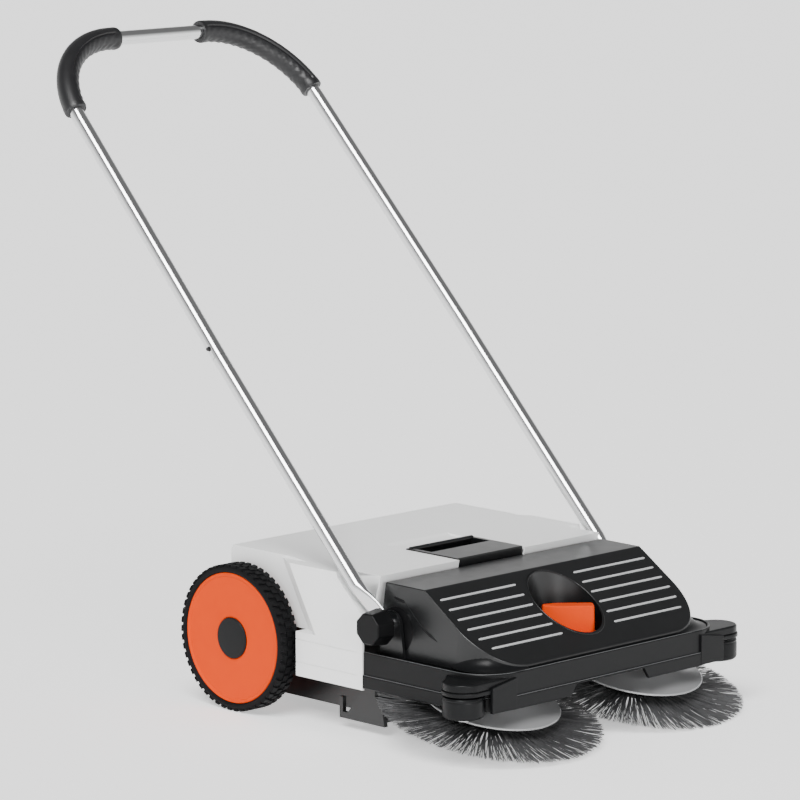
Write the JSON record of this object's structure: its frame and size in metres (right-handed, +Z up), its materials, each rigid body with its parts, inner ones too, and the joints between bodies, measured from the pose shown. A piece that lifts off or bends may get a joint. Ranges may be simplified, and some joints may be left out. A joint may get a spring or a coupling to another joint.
{
  "type": "manual push sweeper",
  "caption": "Hand-pushed floor sweeper with tilted disc brushes in front, a lift-out dirt hopper between side wheels, and a folding bow handle.",
  "frame": {"origin": "middle of the overall footprint, on the floor that the wheels, the support roller and the brush tips rest on", "axes": "+Z up, the brushes and the front face -Y, the handle rises towards +Y, X runs along the wheel axles with the right side at +X"},
  "size_m": [0.55, 0.9065, 0.838],
  "materials": {
    "black_plastic": "fine-grained satin black",
    "white_plastic": "smooth off-white",
    "orange_plastic": "satin orange",
    "rubber": "matt black",
    "tyre_rubber": "matt black, blocky tread",
    "bristle": "matt black bristle",
    "steel": "zinc-plated",
    "polished_tube": "polished",
    "dish_grey": "satin dark grey",
    "foam_grip": "soft black grip"
  },
  "bodies": {
    "chassis": {"front_cover": "black_plastic", "front_apron": "black_plastic", "chassis_plate": "black_plastic", "dirt_ramp": "black_plastic", "side_arm_left": "black_plastic", "brush_bearing_left": "black_plastic", "drive_belt_left": "rubber", "axle_left": "steel", "pivot_bolt_left": "steel", "guide_pin_left": "steel", "side_arm_right": "black_plastic", "brush_bearing_right": "black_plastic", "drive_belt_right": "rubber", "axle_right": "steel", "pivot_bolt_right": "steel", "guide_pin_right": "steel", "axle_left_clip": "steel", "axle_right_clip": "steel"},
    "wheel_left": {"wheel_left_disc": "orange_plastic", "wheel_left_tyre": "tyre_rubber", "wheel_left_pulley": "black_plastic", "wheel_left_cap": "black_plastic"},
    "drive_left": {"drive_left_shaft": "steel", "drive_left_pulley": "black_plastic"},
    "brush_left": {"brush_left_bristles": "bristle", "brush_left_dish": "dish_grey", "brush_left_core": "black_plastic", "brush_left_shaft": "steel", "brush_left_bolt": "steel"},
    "guide_roller_left": {"guide_roller_left": "black_plastic"},
    "snap_button_left": {"snap_button_left": "black_plastic"},
    "clamp_knob_left": {"clamp_knob_left": "black_plastic"},
    "wheel_right": {"wheel_right_disc": "orange_plastic", "wheel_right_tyre": "tyre_rubber", "wheel_right_pulley": "black_plastic", "wheel_right_cap": "black_plastic"},
    "drive_right": {"drive_right_shaft": "steel", "drive_right_pulley": "black_plastic"},
    "brush_right": {"brush_right_bristles": "bristle", "brush_right_dish": "dish_grey", "brush_right_core": "black_plastic", "brush_right_shaft": "steel", "brush_right_bolt": "steel"},
    "guide_roller_right": {"guide_roller_right": "black_plastic"},
    "snap_button_right": {"snap_button_right": "black_plastic"},
    "clamp_knob_right": {"clamp_knob_right": "black_plastic"},
    "handle": {"lower_tube_left": "polished_tube", "lower_tube_right": "polished_tube", "upper_tube": "polished_tube", "grip_left": "foam_grip", "grip_right": "foam_grip"},
    "height_adjuster": {"height_knob": "orange_plastic", "height_screw": "steel"},
    "support_fork": {"support_fork": "black_plastic", "support_axle": "steel"},
    "support_roller": {"support_roller": "rubber"},
    "hopper": {"hopper_hood": "white_plastic", "hopper_tray": "black_plastic", "grip_insert": "black_plastic"}
  },
  "joints": [
    {"name": "wheel_left_spin", "type": "hinge", "parent": "chassis", "child": "wheel_left", "pos_m": [-0.225, 0.0413, 0.0947], "axis": [1, 0, 0], "continuous": true},
    {"name": "drive_left_turn", "type": "hinge", "parent": "chassis", "child": "drive_left", "pos_m": [-0.1316, -0.33088, 0.11897], "axis": [1, 0, 0], "continuous": true},
    {"name": "brush_left_spin", "type": "hinge", "parent": "chassis", "child": "brush_left", "pos_m": [-0.1316, -0.3114, 0.0311], "axis": [0, -0.2164, 0.9763], "continuous": true},
    {"name": "guide_roller_left_spin", "type": "hinge", "parent": "chassis", "child": "guide_roller_left", "pos_m": [-0.232, -0.3637, 0.0725], "axis": [0, 0, 1], "continuous": true},
    {"name": "wheel_right_spin", "type": "hinge", "parent": "chassis", "child": "wheel_right", "pos_m": [0.225, 0.0413, 0.0947], "axis": [1, 0, 0], "continuous": true},
    {"name": "drive_right_turn", "type": "hinge", "parent": "chassis", "child": "drive_right", "pos_m": [0.1316, -0.33088, 0.11897], "axis": [1, 0, 0], "continuous": true},
    {"name": "brush_right_spin", "type": "hinge", "parent": "chassis", "child": "brush_right", "pos_m": [0.1316, -0.3114, 0.0311], "axis": [0, -0.2164, 0.9763], "continuous": true},
    {"name": "guide_roller_right_spin", "type": "hinge", "parent": "chassis", "child": "guide_roller_right", "pos_m": [0.232, -0.3637, 0.0725], "axis": [0, 0, 1], "continuous": true},
    {"name": "handle_fold", "type": "hinge", "parent": "chassis", "child": "handle", "pos_m": [0, -0.2107, 0.1458], "axis": [1, 0, 0], "range_deg": [-3, 115]},
    {"name": "snap_button_left_press", "type": "slide", "parent": "handle", "child": "snap_button_left", "axis": [1, 0, 0], "range_m": [0, 0.0025], "stiffness_N_per_m": 400},
    {"name": "clamp_knob_left_turn", "type": "hinge", "parent": "chassis", "child": "clamp_knob_left", "pos_m": [-0.23, -0.2107, 0.1458], "axis": [1, 0, 0], "range_deg": [0, 360]},
    {"name": "snap_button_right_press", "type": "slide", "parent": "handle", "child": "snap_button_right", "axis": [-1, 0, 0], "range_m": [0, 0.0025], "stiffness_N_per_m": 400},
    {"name": "clamp_knob_right_turn", "type": "hinge", "parent": "chassis", "child": "clamp_knob_right", "pos_m": [0.23, -0.2107, 0.1458], "axis": [1, 0, 0], "range_deg": [0, 360]},
    {"name": "height_turn", "type": "hinge", "parent": "chassis", "child": "height_adjuster", "pos_m": [0, -0.3157, 0.14], "axis": [0, 0, 1], "range_deg": [0, 270]},
    {"name": "fork_slide", "type": "slide", "parent": "chassis", "child": "support_fork", "axis": [0, 0, 1], "range_m": [0, 0.0081]},
    {"name": "support_roller_spin", "type": "hinge", "parent": "support_fork", "child": "support_roller", "pos_m": [0, -0.2107, 0.017], "axis": [1, 0, 0], "continuous": true},
    {"name": "hopper_lift", "type": "slide", "parent": "chassis", "child": "hopper", "axis": [0, 0, 1], "range_m": [0, 0.007]}
  ],
  "couplings": [
    {"joint": "drive_left_turn", "follows": "wheel_left_spin", "ratio": 2.5},
    {"joint": "brush_left_spin", "follows": "wheel_left_spin", "ratio": 1.6667},
    {"joint": "drive_right_turn", "follows": "wheel_right_spin", "ratio": 2.5},
    {"joint": "brush_right_spin", "follows": "wheel_right_spin", "ratio": -1.6667},
    {"joint": "fork_slide", "follows": "height_turn", "m_per_rad": 0.0016977}
  ]
}
